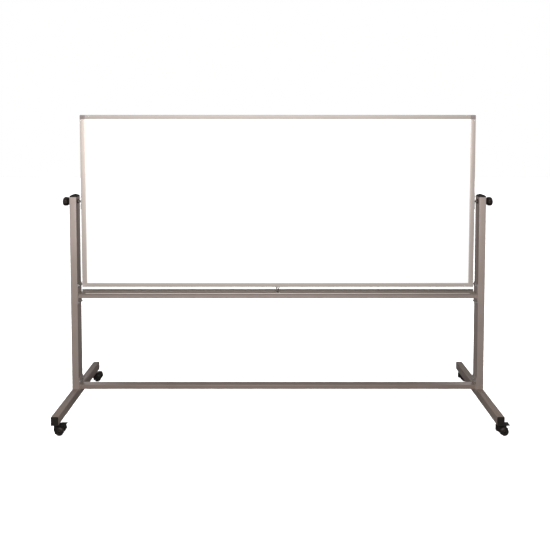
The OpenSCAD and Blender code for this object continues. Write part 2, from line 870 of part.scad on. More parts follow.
board_core();
front_surface();
rear_surface();
top_rail();
bottom_rail();
left_rail();
right_rail();
top_corner_caps();
bottom_corner_caps();
corner_screws();
pivot_plates();
pivot_plate_screws();
pivot_studs();
pivot_spacers();
catch_striker();
left_post();
right_post();
left_foot();
right_foot();
post_caps();
foot_end_caps();
post_plugs();
foot_bolts();
lower_crossbar();
upper_crossbar();
crossbar_brackets();
bracket_bolts();
tray_floor();
tray_lip();
tray_back_wall();
tray_end_caps();
tray_screws();
catch_fork();
pivot_bushings();
pivot_washers();
caster_sockets();
caster_stems();
caster_washers();
knob_left();
knob_right();
knob_insert_left();
knob_insert_right();
caster_housing_front_left();
caster_housing_front_right();
caster_housing_rear_left();
caster_housing_rear_right();
caster_axle_front_left();
caster_axle_front_right();
caster_axle_rear_left();
caster_axle_rear_right();
wheel_front_left_a();
wheel_front_left_b();
wheel_front_right_a();
wheel_front_right_b();
wheel_rear_left_a();
wheel_rear_left_b();
wheel_rear_right_a();
wheel_rear_right_b();
brake_lever_left();
brake_lever_right();
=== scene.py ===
"""Looks of the rolling reversible whiteboard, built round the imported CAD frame. Metres throughout."""
import math
import bmesh
import bpy
from mathutils import Matrix, Vector


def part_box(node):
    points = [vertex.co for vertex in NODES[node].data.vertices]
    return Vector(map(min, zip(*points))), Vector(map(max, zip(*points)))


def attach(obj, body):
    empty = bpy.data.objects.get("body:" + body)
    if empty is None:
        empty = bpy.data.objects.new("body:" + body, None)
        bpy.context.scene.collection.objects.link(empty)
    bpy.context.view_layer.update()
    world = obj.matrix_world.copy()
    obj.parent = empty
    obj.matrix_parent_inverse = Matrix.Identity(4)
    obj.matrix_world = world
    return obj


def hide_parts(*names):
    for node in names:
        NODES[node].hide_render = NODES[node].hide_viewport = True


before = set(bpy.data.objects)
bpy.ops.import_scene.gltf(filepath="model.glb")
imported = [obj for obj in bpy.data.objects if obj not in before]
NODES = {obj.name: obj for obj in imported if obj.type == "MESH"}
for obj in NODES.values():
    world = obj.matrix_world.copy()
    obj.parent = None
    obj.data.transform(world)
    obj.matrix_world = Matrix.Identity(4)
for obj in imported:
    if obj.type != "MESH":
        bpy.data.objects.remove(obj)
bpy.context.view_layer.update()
MM = 0.001
CASTERS = ("front_left", "front_right", "rear_left", "rear_right")


# ---------- camera, lights and floor ----------

CAMERA_AT = (0.0, -2.8586, 1.7747)
CAMERA_PITCH = 2.046       # degrees below the horizon
LENS = 30.2                # millimetres, on a 36 mm sensor
SHIFT = (-0.005, -0.2456)  # the horizon sits high in the frame while the uprights stay upright
KEY_AT, KEY_SIZE, KEY_POWER = (-0.25, -3.3, 2.0), (4.4, 2.0), 180.0
SIDE_AT, SIDE_SIZE, SIDE_POWER = (3.6, 3.0, 1.2), (1.6, 1.6), 17.0
BEHIND_AT, BEHIND_SIZE, BEHIND_POWER = (0.0, 3.4, 1.6), (4.4, 2.0), 150.0
FLOOR_SUN, FLOOR_SUN_ANGLE, FLOOR_SUN_TILT = 5.0, 60.0, 8.0  # strength, then degrees


def make_camera():
    data = bpy.data.cameras.new("camera")
    data.lens = LENS
    data.sensor_width = 36.0
    data.shift_x, data.shift_y = SHIFT
    data.clip_end = 60.0
    camera = bpy.data.objects.new("camera", data)
    camera.location = CAMERA_AT
    camera.rotation_euler = (math.radians(90.0 - CAMERA_PITCH), 0.0, 0.0)
    bpy.context.scene.collection.objects.link(camera)
    bpy.context.scene.camera = camera


def area_light(name, at, aim, width, height, power, colour=(1.0, 1.0, 1.0)):
    """A soft box at one point, facing another."""
    data = bpy.data.lights.new(name, "AREA")
    data.shape = "RECTANGLE"
    data.size, data.size_y = width, height
    data.energy = power
    data.color = colour
    light = bpy.data.objects.new(name, data)
    light.location = at
    light.rotation_euler = (Vector(aim) - Vector(at)).to_track_quat("-Z", "Y").to_euler()
    bpy.context.scene.collection.objects.link(light)
    return light


def sun_light(name, strength, angle, tilt):
    data = bpy.data.lights.new(name, "SUN")
    data.energy = strength
    data.angle = math.radians(angle)
    light = bpy.data.objects.new(name, data)
    light.rotation_euler = (math.radians(tilt), 0.0, 0.0)
    bpy.context.scene.collection.objects.link(light)
    return light


def make_world(seen=1.0, above=0.27, below=0.14):
    """White backdrop to the camera, and a dimmer soft light on everything else, weaker from below."""
    world = bpy.data.worlds.new("studio")
    world.use_nodes = True
    tree = world.node_tree
    background = tree.nodes["Background"]
    background.inputs["Color"].default_value = (1.0, 1.0, 1.0, 1.0)
    direction = tree.nodes.new("ShaderNodeTexCoord")
    split = tree.nodes.new("ShaderNodeSeparateXYZ")
    height = tree.nodes.new("ShaderNodeMapRange")
    height.inputs["From Min"].default_value = -0.5
    height.inputs["From Max"].default_value = 0.6
    height.inputs["To Min"].default_value = below
    height.inputs["To Max"].default_value = above
    path = tree.nodes.new("ShaderNodeLightPath")
    level = tree.nodes.new("ShaderNodeMix")
    level.inputs[3].default_value = seen
    tree.links.new(direction.outputs["Generated"], split.inputs["Vector"])
    tree.links.new(split.outputs["Z"], height.inputs["Value"])
    tree.links.new(path.outputs["Is Camera Ray"], level.inputs[0])
    tree.links.new(height.outputs["Result"], level.inputs[2])
    tree.links.new(level.outputs[0], background.inputs["Strength"])
    bpy.context.scene.world = world


def make_floor():
    """White sheet that the camera sees and that throws no light back up at the object."""
    bm = bmesh.new()
    bmesh.ops.create_grid(bm, x_segments=2, y_segments=2, size=12.0)
    mesh = bpy.data.meshes.new("floor")
    bm.to_mesh(mesh)
    bm.free()
    floor = bpy.data.objects.new("floor", mesh)
    floor.location.z = -0.4 * MM
    bpy.context.scene.collection.objects.link(floor)
    mesh.materials.append(FLOOR)
    floor.visible_diffuse = False
    floor.visible_glossy = False
    return floor


def make_lights(floor):
    area_light("key", KEY_AT, (0.0, 0.0, 1.1), *KEY_SIZE, KEY_POWER)
    for side in (-1, 1):
        area_light("side_back", (side * SIDE_AT[0], SIDE_AT[1], SIDE_AT[2]), (0.0, 0.0, 1.0), *SIDE_SIZE, SIDE_POWER)
    wash = sun_light("floor_wash", FLOOR_SUN, FLOOR_SUN_ANGLE, FLOOR_SUN_TILT)
    wash.data.use_shadow = False
    only_floor = bpy.data.collections.new("floor_only")
    only_floor.objects.link(floor)
    wash.light_linking.receiver_collection = only_floor


def light_far_face():
    """Soft box behind the board that reaches its writing surfaces alone."""
    behind = area_light("behind", BEHIND_AT, (0.0, 0.0, 1.25), *BEHIND_SIZE, BEHIND_POWER)
    faces = bpy.data.collections.new("writing_faces")
    for node in ("front_surface", "rear_surface"):
        faces.objects.link(NODES[node])
    behind.light_linking.receiver_collection = faces


# ---------- materials ----------

class Shader:
    """A Principled material with helpers for procedural detail in the piece's own coordinates."""

    def __init__(self, name, colour, roughness, metallic=0.0, **fixed):
        self.material = bpy.data.materials.new(name)
        self.material.use_nodes = True
        self.tree = self.material.node_tree
        self.surface = self.tree.nodes["Principled BSDF"]
        self.colour = colour
        self.roughness = roughness
        self.put("Base Color", (*colour, 1.0))
        self.put("Roughness", roughness)
        self.put("Metallic", metallic)
        for socket, value in fixed.items():
            self.put(socket.replace("_", " "), value)
        self.place = self.node("ShaderNodeTexCoord").outputs["Object"]

    def put(self, socket, value):
        self.surface.inputs[socket].default_value = value

    def node(self, kind, **inputs):
        made = self.tree.nodes.new(kind)
        for socket, value in inputs.items():
            made.inputs[socket.replace("_", " ")].default_value = value
        return made

    def link(self, output, target):
        self.tree.links.new(output, target)

    def noise(self, scale, detail=3.0, rough=0.5, stretch=(1.0, 1.0, 1.0)):
        """Noise from 0 to 1, with scale in features per metre."""
        mapping = self.node("ShaderNodeMapping")
        mapping.inputs["Scale"].default_value = stretch
        self.link(self.place, mapping.inputs["Vector"])
        made = self.node("ShaderNodeTexNoise", Scale=scale, Detail=detail, Roughness=rough)
        self.link(mapping.outputs["Vector"], made.inputs["Vector"])
        return made.outputs["Fac"]

    def remap(self, value, low, high, to_low, to_high):
        made = self.node("ShaderNodeMapRange")
        made.inputs["From Min"].default_value = low
        made.inputs["From Max"].default_value = high
        made.inputs["To Min"].default_value = to_low
        made.inputs["To Max"].default_value = to_high
        self.link(value, made.inputs["Value"])
        return made.outputs["Result"]

    def mix(self, factor, first, second):
        """Colour mix; first and second are colours or sockets."""
        made = self.tree.nodes.new("ShaderNodeMix")
        made.data_type = "RGBA"
        self.link(factor, made.inputs["Factor"])
        for socket, value in ((made.inputs[6], first), (made.inputs[7], second)):
            if isinstance(value, tuple):
                socket.default_value = (*value, 1.0)
            else:
                self.link(value, socket)
        return made.outputs[2]

    def vary_colour(self, noise, spread):
        """Darkens and lightens the colour by a share of itself."""
        dark = tuple(c * (1.0 - spread) for c in self.colour)
        light = tuple(min(1.0, c * (1.0 + spread)) for c in self.colour)
        mixed = self.mix(self.remap(noise, 0.3, 0.7, 0.0, 1.0), dark, light)
        self.link(mixed, self.surface.inputs["Base Color"])
        return mixed

    def vary_roughness(self, noise, spread):
        level = self.remap(noise, 0.3, 0.7, self.roughness - spread, self.roughness + spread)
        self.link(level, self.surface.inputs["Roughness"])
        return level

    def bump(self, height, depth, strength=1.0, under=None):
        """Depth is the height of the relief in metres."""
        made = self.node("ShaderNodeBump", Strength=strength, Distance=depth)
        self.link(height, made.inputs["Height"])
        if under is not None:
            self.link(under, made.inputs["Normal"])
        self.link(made.outputs["Normal"], self.surface.inputs["Normal"])
        return made.outputs["Normal"]

    def worn_edges(self, colour, worn, radius, share):
        """Mixes a worn colour in along convex edges, broken up by noise."""
        bevel = self.node("ShaderNodeBevel", Radius=radius)
        bevel.samples = 4
        geometry = self.node("ShaderNodeNewGeometry")
        dot = self.node("ShaderNodeVectorMath")
        dot.operation = "DOT_PRODUCT"
        self.link(bevel.outputs["Normal"], dot.inputs[0])
        self.link(geometry.outputs["Normal"], dot.inputs[1])
        edge = self.remap(dot.outputs["Value"], 0.995, 0.86, 0.0, 1.0)
        broken = self.remap(self.noise(160.0, 4.0, 0.6), 0.42, 0.62, 0.0, share)
        both = self.node("ShaderNodeMath")
        both.operation = "MULTIPLY"
        self.link(edge, both.inputs[0])
        self.link(broken, both.inputs[1])
        mixed = self.mix(both.outputs["Value"], colour, worn)
        self.link(mixed, self.surface.inputs["Base Color"])


def painted_steel(name, colour):
    """Powder coat with a little metal flake: fine orange peel, uneven sheen, rubbed edges."""
    s = Shader(name, colour, 0.45, 0.2, Coat_Weight=0.12, Coat_Roughness=0.3)
    cloud = s.noise(7.0, 3.0)
    tinted = s.vary_colour(cloud, 0.05)
    flake = s.noise(2600.0, 1.0)
    glint = s.mix(s.remap(flake, 0.62, 0.75, 0.0, 0.5), tinted, tuple(min(1.0, c * 1.5) for c in colour))
    s.worn_edges(glint, tuple(min(1.0, c * 1.7) for c in colour), 1.2 * MM, 0.5)
    s.vary_roughness(s.noise(40.0, 4.0), 0.05)
    s.bump(s.noise(900.0, 2.0), 0.03 * MM, 0.5)
    return s.material


def extruded_aluminium(name, colour, grain, roughness=0.45, metallic=0.5):
    """Anodised extrusion: hair lines along its length. grain is the stretch of the noise."""
    s = Shader(name, colour, roughness, metallic)
    lines = s.noise(1400.0, 3.0, 0.6, grain)
    soft = s.noise(5.0, 2.0)
    tinted = s.vary_colour(soft, 0.03)
    streaked = s.mix(s.remap(lines, 0.35, 0.65, 0.0, 0.35), tinted, tuple(c * 0.86 for c in colour))
    s.link(streaked, s.surface.inputs["Base Color"])
    s.vary_roughness(lines, 0.06)
    s.bump(lines, 0.012 * MM, 0.6)
    return s.material


def moulded_plastic(name, colour, roughness, grain=0.02, worn=0.0, scale=1500.0):
    """Injection moulded plastic: fine grain, faint flow marks, slightly paler edges."""
    s = Shader(name, colour, roughness, 0.0, Specular_IOR_Level=0.34, Specular_Tint=(1.0, 0.86, 0.78, 1.0))
    tinted = s.vary_colour(s.noise(55.0, 4.0), 0.16)
    if worn:
        s.worn_edges(tinted, tuple(min(1.0, c + worn) for c in colour), 0.8 * MM, 0.8)
    s.vary_roughness(s.noise(90.0, 3.0), 0.07)
    s.bump(s.noise(scale, 2.0), grain * MM, 0.6)
    return s.material


def zinc_plate(name, colour=(0.66, 0.66, 0.65)):
    """Bright zinc on steel: soft crystalline blotches and fine turning marks."""
    s = Shader(name, colour, 0.27, 1.0)
    s.vary_colour(s.noise(420.0, 3.0, 0.65), 0.12)
    s.vary_roughness(s.noise(700.0, 3.0), 0.08)
    s.bump(s.noise(1800.0, 2.0), 0.01 * MM, 0.5)
    return s.material


def brass(name):
    s = Shader(name, (0.72, 0.52, 0.22), 0.3, 1.0)
    s.vary_colour(s.noise(300.0, 3.0), 0.1)
    s.vary_roughness(s.noise(600.0, 2.0), 0.06)
    s.bump(s.noise(1500.0, 2.0), 0.01 * MM, 0.4)
    return s.material


def fibreboard(name):
    """Pressed wood fibre: long and short fibres with dark flecks."""
    s = Shader(name, (0.46, 0.35, 0.22), 0.8)
    fibres = s.noise(650.0, 5.0, 0.7, (1.0, 3.0, 1.0))
    tinted = s.vary_colour(fibres, 0.25)
    flecks = s.remap(s.noise(1500.0, 2.0), 0.66, 0.74, 0.0, 0.6)
    s.link(s.mix(flecks, tinted, (0.16, 0.11, 0.07)), s.surface.inputs["Base Color"])
    s.bump(fibres, 0.15 * MM, 0.5)
    return s.material


def writing_enamel(name):
    """Fired white enamel: a slow roller-coat ripple, and the faintest trace of old wiping."""
    s = Shader(name, (0.95, 0.95, 0.95), 0.2, 0.0, Coat_Weight=0.5, Coat_Roughness=0.08)
    wipes = s.noise(3.2, 5.0, 0.6, (0.55, 1.0, 1.7))
    s.link(s.mix(s.remap(wipes, 0.52, 0.75, 0.0, 1.0), (0.96, 0.96, 0.96), (0.935, 0.937, 0.94)),
           s.surface.inputs["Base Color"])
    s.vary_roughness(wipes, 0.045)
    ripple = s.bump(s.noise(9.0, 1.0), 0.12 * MM, 0.25)
    s.bump(s.noise(1300.0, 1.0), 0.004 * MM, 0.5, ripple)
    return s.material


def pale_floor(name):
    s = Shader(name, (0.90, 0.90, 0.90), 0.7, 0.0, Specular_IOR_Level=0.2)
    s.vary_colour(s.noise(1.5, 3.0), 0.006)
    return s.material


ALONG_X = (0.03, 1.0, 1.0)
ALONG_Z = (1.0, 1.0, 0.03)
BOARD_GREY = (0.48, 0.418, 0.380)
FRAME_PAINT = painted_steel("frame_powder_coat", (0.285, 0.230, 0.205))
# Feet and lower crossbar: the frame's own powder coat made a shade darker, as painted shade for the less light they
# get
FOOT_SHADED_PAINT = painted_steel("foot_powder_coat_painted_shade", (0.225, 0.174, 0.149))
# Top and bottom rails: a darker, less metallic copy of the side rails' aluminium, as painted shade
RAIL_METAL_X_SHADED = extruded_aluminium("board_rail_aluminium_x_painted_shade", (0.37, 0.325, 0.297), ALONG_X, 0.52, 0.15)
RAIL_METAL_Z = extruded_aluminium("board_rail_aluminium_z", BOARD_GREY, ALONG_Z)
TRAY_METAL = extruded_aluminium("tray_aluminium", (0.34, 0.285, 0.252), ALONG_X, 0.45)
# Tray back wall: the tray's own aluminium made much darker, as painted shade along the wall under the board
TRAY_BACK_SHADED_METAL = extruded_aluminium("tray_back_aluminium_painted_shade", (0.105, 0.086, 0.073), ALONG_X, 0.5, 0.2)
# Top corners: a darker copy of the grey corner plastic, as painted shade; all four corners are the same plastic
CORNER_SHADED = moulded_plastic("corner_plastic_painted_shade", (0.235, 0.195, 0.19), 0.5, 0.02)
CORNER_LIGHT = moulded_plastic("corner_light_plastic", (0.37, 0.328, 0.303), 0.5, 0.02)
BLACK_PLASTIC = moulded_plastic("black_plastic", (0.013, 0.011, 0.010), 0.42, 0.025, 0.02)
KNOB_PLASTIC = moulded_plastic("knob_plastic", (0.008, 0.0065, 0.006), 0.38, 0.02, 0.02)
CASTER_PLASTIC = moulded_plastic("caster_nylon", (0.007, 0.006, 0.0055), 0.42, 0.015, 0.02)
WHEEL_PLASTIC = moulded_plastic("wheel_nylon", (0.008, 0.007, 0.0065), 0.52, 0.03, 0.03, 1100.0)
LEVER_PLASTIC = moulded_plastic("lever_nylon", (0.011, 0.011, 0.011), 0.4, 0.02, 0.02)
GREY_PLASTIC = moulded_plastic("spacer_grey_plastic", (0.09, 0.076, 0.070), 0.45, 0.02)
CATCH_PLASTIC = moulded_plastic("catch_grey_plastic", (0.055, 0.046, 0.042), 0.45, 0.02)
ZINC = zinc_plate("zinc_plate")
DARK_ZINC = zinc_plate("blackened_zinc", (0.05, 0.048, 0.046))
BRASS = brass("brass")
CORE = fibreboard("fibreboard_core")
ENAMEL = writing_enamel("white_enamel")
FLOOR = pale_floor("pale_floor")


# ---------- mesh helpers ----------

def bevelled(obj, width, segments=2, angle=32.0):
    """Rounds the sharp edges of a piece and keeps the result as its mesh."""
    modifier = obj.modifiers.new("edges", "BEVEL")
    modifier.width = width
    modifier.segments = segments
    modifier.limit_method = "ANGLE"
    modifier.angle_limit = math.radians(angle)
    modifier.miter_outer = "MITER_ARC"
    modifier.use_clamp_overlap = True
    applied(obj)


def applied(obj):
    """Replaces a piece's mesh by its mesh with every modifier applied."""
    graph = bpy.context.evaluated_depsgraph_get()
    made = bpy.data.meshes.new_from_object(obj.evaluated_get(graph))
    old = obj.data
    obj.modifiers.clear()
    obj.data = made
    bpy.data.meshes.remove(old)


def piece(name, bm, material, body, nodes=(), bevel=0.0, segments=2, smooth=32.0):
    """Turns a bmesh into a finished piece: rounded, shaded, painted, riding on its body."""
    bmesh.ops.recalc_face_normals(bm, faces=bm.faces)
    mesh = bpy.data.meshes.new(name)
    bm.to_mesh(mesh)
    bm.free()
    obj = bpy.data.objects.new(name, mesh)
    bpy.context.scene.collection.objects.link(obj)
    if bevel:
        bevelled(obj, bevel, segments)
    obj.data.name = name
    obj.data.shade_smooth()
    obj.data.set_sharp_from_angle(angle=math.radians(smooth))
    obj.data.materials.clear()
    obj.data.materials.append(material)
    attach(obj, body)
    if nodes:
        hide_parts(*nodes)
    return obj


def node_mesh(node):
    """A bmesh copy of a CAD node with its flat faces joined up."""
    bm = bmesh.new()
    bm.from_mesh(NODES[node].data)
    bmesh.ops.remove_doubles(bm, verts=bm.verts, dist=0.002 * MM)
    bmesh.ops.dissolve_limit(bm, angle_limit=math.radians(0.4), verts=bm.verts, edges=bm.edges)
    return bm


def refined(node, name, material, body, bevel=0.4 * MM, segments=2):
    """The CAD node's own shape with rounded edges and smooth curves."""
    return piece(name, node_mesh(node), material, body, [node], bevel, segments)


def paint(node, material):
    """Keeps a CAD node as it is and gives it a material."""
    NODES[node].data.materials.clear()
    NODES[node].data.materials.append(material)


def axis_place(at, axis):
    """Matrix that stands local +Z along a row axis, '+X' for example, with its origin at a point."""
    turns = {"+X": (90.0, "Y"), "-X": (-90.0, "Y"), "+Y": (-90.0, "X"), "-Y": (90.0, "X"),
             "+Z": (0.0, "X"), "-Z": (180.0, "X")}
    angle, about = turns[axis]
    return Matrix.Translation(at) @ Matrix.Rotation(math.radians(angle), 4, about)


def skin(bm, rings, closed=False):
    """Joins successive rings of vertices with faces. A ring of one vertex is a pole."""
    pairs = list(zip(rings, rings[1:]))
    if closed:
        pairs.append((rings[-1], rings[0]))
    for low, high in pairs:
        steps = max(len(low), len(high))
        for i in range(steps):
            j = (i + 1) % steps
            corners = [low[i % len(low)], low[j % len(low)], high[j % len(high)], high[i % len(high)]]
            face = [c for k, c in enumerate(corners) if c not in corners[:k]]
            if len(face) > 2:
                bm.faces.new(face)


def lathe(bm, profile, place, steps=64, closed=False, radius_at=None):
    """Turns (along, radius) points round the local Z axis. A closed profile makes a ring with a bore."""
    rings = []
    for along, radius in profile:
        if radius < 1e-7:
            rings.append([bm.verts.new(place @ Vector((0.0, 0.0, along)))])
            continue
        ring = []
        for i in range(steps):
            angle = 2.0 * math.pi * i / steps
            r = radius_at(along, radius, angle) if radius_at else radius
            ring.append(bm.verts.new(place @ Vector((r * math.cos(angle), r * math.sin(angle), along))))
        rings.append(ring)
    skin(bm, rings, closed)


def rounded(corners, steps=5):
    """Closed outline through (x, y, radius) corners, each corner turned into an arc."""
    points = []
    count = len(corners)
    for i, (x, y, radius) in enumerate(corners):
        here = Vector((x, y))
        before = (Vector(corners[i - 1][:2]) - here).normalized()
        after = (Vector(corners[(i + 1) % count][:2]) - here).normalized()
        half = 0.5 * before.angle(after)
        if radius < 1e-7 or half > 1.56:
            points.append((x, y))
            continue
        back = radius / math.tan(half)
        middle = here + (before + after).normalized() * radius / math.sin(half)
        start = here + before * back - middle
        turn = start.angle_signed(here + after * back - middle)
        for k in range(steps + 1):
            arm = start.copy()
            arm.rotate(Matrix.Rotation(-turn * k / steps, 2))
            points.append(tuple(middle + arm))
    return points


def prism(bm, loops, span, place):
    """Extrudes an outline with holes. loops are lists of (x, y); span is (start, end) along local Z."""
    ends = ([], [])
    for loop in loops:
        rings = [[bm.verts.new(place @ Vector((x, y, z))) for x, y in loop] for z in span]
        skin(bm, rings)
        for ring, edges in zip(rings, ends):
            edges += [bm.edges.get((a, b)) for a, b in zip(ring, ring[1:] + ring[:1])]
    for edges in ends:
        bmesh.ops.triangle_fill(bm, use_beauty=True, use_dissolve=False, edges=edges)


def middle(node):
    low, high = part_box(node)
    return (low + high) / 2




def solids(node):
    """Boxes (low, high) of the separate solids of a CAD node, in a steady order."""
    bm = bmesh.new()
    bm.from_mesh(NODES[node].data)
    bmesh.ops.remove_doubles(bm, verts=bm.verts, dist=0.002 * MM)
    left = set(bm.verts)
    boxes = []
    while left:
        stack = [left.pop()]
        points = []
        while stack:
            vert = stack.pop()
            points.append(vert.co.copy())
            for edge in vert.link_edges:
                other = edge.other_vert(vert)
                if other in left:
                    left.remove(other)
                    stack.append(other)
        boxes.append((Vector(min(p[i] for p in points) for i in range(3)),
                      Vector(max(p[i] for p in points) for i in range(3))))
    bm.free()
    return sorted(boxes, key=lambda box: tuple(round(c, 5) for c in box[0]))


def hexagon(corner):
    """Trims a lathe to a hexagon of the given corner radius; its profile then gives the chamfers."""
    def trimmed(_along, radius, angle):
        off = (angle + math.pi / 6) % (math.pi / 3) - math.pi / 6
        flat = corner * math.cos(math.pi / 6) / math.cos(abs(abs(off) - math.pi / 6))
        return min(radius, flat)
    return trimmed


def stamp(bm, mesh, place):
    """Adds a copy of a mesh, moved by a matrix."""
    start = len(bm.verts)
    bm.from_mesh(mesh)
    bm.verts.ensure_lookup_table()
    for vert in bm.verts[start:]:
        vert.co = place @ vert.co


def cross_head(radius, height, shank, length, countersunk=False):
    """Screw with a cross recess, in millimetres: the head sits on z = 0 and the shank points down."""
    bm = bmesh.new()
    if countersunk:
        head = [(height, 0.0), (height, radius * 0.93), (height - 0.15, radius)]
    else:
        head = [(height - height * 0.22 * (i / 4) ** 2, radius * 0.72 * i / 4) for i in range(5)]
        head += [(height * 0.60, radius * 0.92), (height * 0.28, radius)]
    profile = head + [(0.0, radius), (0.0, shank), (-length + 0.6, shank), (-length, shank * 0.6), (-length, 0.0)]
    lathe(bm, profile, Matrix.Identity(4), 32)
    bmesh.ops.recalc_face_normals(bm, faces=bm.faces)
    body = bpy.data.meshes.new("screw")
    bm.to_mesh(body)
    bm.free()
    reach, half = radius * 0.55, radius * 0.12
    bm = bmesh.new()
    cross = [(reach, -half), (reach, half), (half, half), (half, reach), (-half, reach), (-half, half),
             (-reach, half), (-reach, -half), (-half, -half), (-half, -reach), (half, -reach), (half, -half)]
    prism(bm, [cross], (height * 0.35, height + 1.0), Matrix.Identity(4))
    bmesh.ops.recalc_face_normals(bm, faces=bm.faces)
    tool = bpy.data.meshes.new("recess")
    bm.to_mesh(tool)
    bm.free()
    screw = bpy.data.objects.new("screw", body)
    cutter = bpy.data.objects.new("recess", tool)
    for obj in (screw, cutter):
        bpy.context.scene.collection.objects.link(obj)
    cut = screw.modifiers.new("recess", "BOOLEAN")
    cut.object = cutter
    cut.operation = "DIFFERENCE"
    cut.solver = "EXACT"
    applied(screw)
    result = screw.data
    for obj in (screw, cutter):
        bpy.data.objects.remove(obj)
    bpy.data.meshes.remove(tool)
    return result


def screws(name, places, template, body, node):
    """Stamps one screw at every place, in millimetres turned to metres."""
    bm = bmesh.new()
    for place in places:
        stamp(bm, template, place @ Matrix.Scale(MM, 4))
    return piece(name, bm, ZINC, body, [node] if node else ())


# ---------- the board ----------

RAIL = 25.0          # width of the top and bottom rails
STILE = 31.0         # width of the side rails
HALF = 10.0          # half its depth
LIP = 1.4            # thickness of its lips at the slot
EDGE = 1.6           # its outer wall
CHAMBER = 9.0        # inner end of its hollow
WEB = 10.4           # floor of the slot that holds the panel
GROOVE = 6.5         # a fine line along its face, from its inner edge
STEP_DOWN = 0.7      # how far the inner margin slopes back towards the panel


def rail_loops(width):
    """Section of an edge rail in metres: x is the depth, y runs inward from the outer edge."""
    line = width - GROOVE
    face = [(-HALF, 0.0, 1.3), (-HALF, line - 0.7, 0.15), (-HALF + 0.5, line, 0.1),
            (-HALF, line + 0.7, 0.15), (-HALF + STEP_DOWN, width, 0.35), (-HALF + LIP, width, 0.1),
            (-HALF + LIP, WEB, 0.0)]
    outline = face + [(-x, y, r) for x, y, r in reversed(face)]
    inner = HALF - LIP
    hollow = [(-inner, EDGE, 0.8), (inner, EDGE, 0.8), (inner, CHAMBER, 0.8), (-inner, CHAMBER, 0.8)]
    return [[(x * MM, y * MM) for x, y in rounded(loop)] for loop in (outline, hollow)]


def columns(local_x, local_y, local_z, origin):
    """Matrix that sends the local axes to the given directions."""
    turn = Matrix((local_x, local_y, local_z)).transposed().to_4x4()
    return Matrix.Translation(origin) @ turn


def board_rails():
    sides = {"top_rail": ((0, 0, -1), (1, 0, 0)), "bottom_rail": ((0, 0, 1), (1, 0, 0)),
             "left_rail": ((1, 0, 0), (0, 0, 1)), "right_rail": ((-1, 0, 0), (0, 0, 1))}
    for node, (inward, along) in sides.items():
        low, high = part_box(node)
        inward, along = Vector(inward), Vector(along)
        origin = middle(node)
        edge = low if sum(inward) > 0 else high
        for i in range(3):
            if inward[i]:
                origin[i] = edge[i]
            if along[i]:
                origin[i] = low[i]
        bm = bmesh.new()
        loops = rail_loops(RAIL if along.x else STILE)
        prism(bm, loops, (0.0, (high - low).dot(along)), columns((0, 1, 0), inward, along, origin))
        # the top and bottom rails get the darker copy of the rail aluminium: painted shade
        material = RAIL_METAL_X_SHADED if along.x else RAIL_METAL_Z
        piece(node + "_extrusion", bm, material, "board", [node], 0.0, 2, 28.0)


def board_corners():
    # the top corners take the darker copy of the corner plastic: painted shade
    refined("top_corner_caps", "top_corners", CORNER_SHADED, "board", 0.9 * MM, 3)
    refined("bottom_corner_caps", "bottom_corners", CORNER_LIGHT, "board", 0.9 * MM, 3)
    template = cross_head(2.7, 1.1, 1.4, 7.0)
    places = []
    for low, high in solids("corner_screws"):
        x, z = (low.x + high.x) / 2, (low.z + high.z) / 2
        front = low.y < 0
        head = low.y + 1.1 * MM if front else high.y - 1.1 * MM
        places.append(axis_place((x, head, z), "-Y" if front else "+Y"))
    screws("corner_pan_screws", places, template, "board", "corner_screws")


def pivot_stack():
    refined("pivot_plates", "pivot_side_plates", ZINC, "board", 0.4 * MM)
    refined("catch_striker", "catch_pin", DARK_ZINC, "board", 0.4 * MM)
    template = cross_head(2.7, 1.1, 1.4, 8.0)
    places = []
    for low, high in solids("pivot_plate_screws"):
        right = low.x > 0
        head = (high.x - 1.1 * MM) if right else (low.x + 1.1 * MM)
        places.append(axis_place((head, (low.y + high.y) / 2, (low.z + high.z) / 2), "+X" if right else "-X"))
    screws("pivot_pan_screws", places, template, "board", "pivot_plate_screws")

    bm = bmesh.new()
    for low, high in solids("pivot_studs"):
        length, radius = high.x - low.x, (high.z - low.z) / 2
        axis = "+X" if low.x > 0 else "-X"
        start = low.x if low.x > 0 else high.x
        place = axis_place((start, 0.0, (low.z + high.z) / 2), axis)
        lathe(bm, [(0.0, 0.0), (0.0, radius), (length - 0.8 * MM, radius), (length, radius - 0.8 * MM), (length, 0.0)],
              place)
    piece("pivot_stud_rods", bm, ZINC, "board", ["pivot_studs"])

    bm = bmesh.new()
    for low, high in solids("pivot_spacers"):
        length, radius = high.x - low.x, (high.z - low.z) / 2
        place = axis_place((low.x, 0.0, (low.z + high.z) / 2), "+X")
        bore, soft, waist = 6.05 * MM, 0.6 * MM, 0.5 * MM
        profile = [(0.0, bore), (0.0, radius - soft), (soft, radius), (4 * MM, radius), (5 * MM, radius - waist),
                   (length - 5 * MM, radius - waist), (length - 4 * MM, radius), (length - soft, radius),
                   (length, radius - soft), (length, bore)]
        lathe(bm, profile, place, closed=True)
    piece("pivot_spacer_sleeves", bm, GREY_PLASTIC, "board", ["pivot_spacers"])

    bm = bmesh.new()
    for low, high in solids("pivot_bushings"):
        right = low.x > 0
        length = high.x - low.x
        place = axis_place((low.x if right else high.x, 0.0, (low.z + high.z) / 2), "+X" if right else "-X")
        profile = [(0.0, 6.1), (0.0, 13.2), (0.8, 14.0), (2.5, 14.0), (2.5, 8.5),
                   (length / MM, 8.5), (length / MM, 6.1)]
        lathe(bm, [(a * MM, r * MM) for a, r in profile], place, closed=True)
    piece("pivot_flange_bushes", bm, BLACK_PLASTIC, "stand", ["pivot_bushings"])

    bm = bmesh.new()
    for low, high in solids("pivot_washers"):
        thick, radius = high.x - low.x, (high.z - low.z) / 2
        place = axis_place((low.x, 0.0, (low.z + high.z) / 2), "+X")
        profile = [(0.0, 6.1 * MM), (0.0, radius - 0.3 * MM), (0.3 * MM, radius), (thick - 0.3 * MM, radius),
                   (thick, radius - 0.3 * MM), (thick, 6.1 * MM)]
        lathe(bm, profile, place, closed=True)
    piece("pivot_flat_washers", bm, ZINC, "stand", ["pivot_washers"])


# ---------- knobs ----------

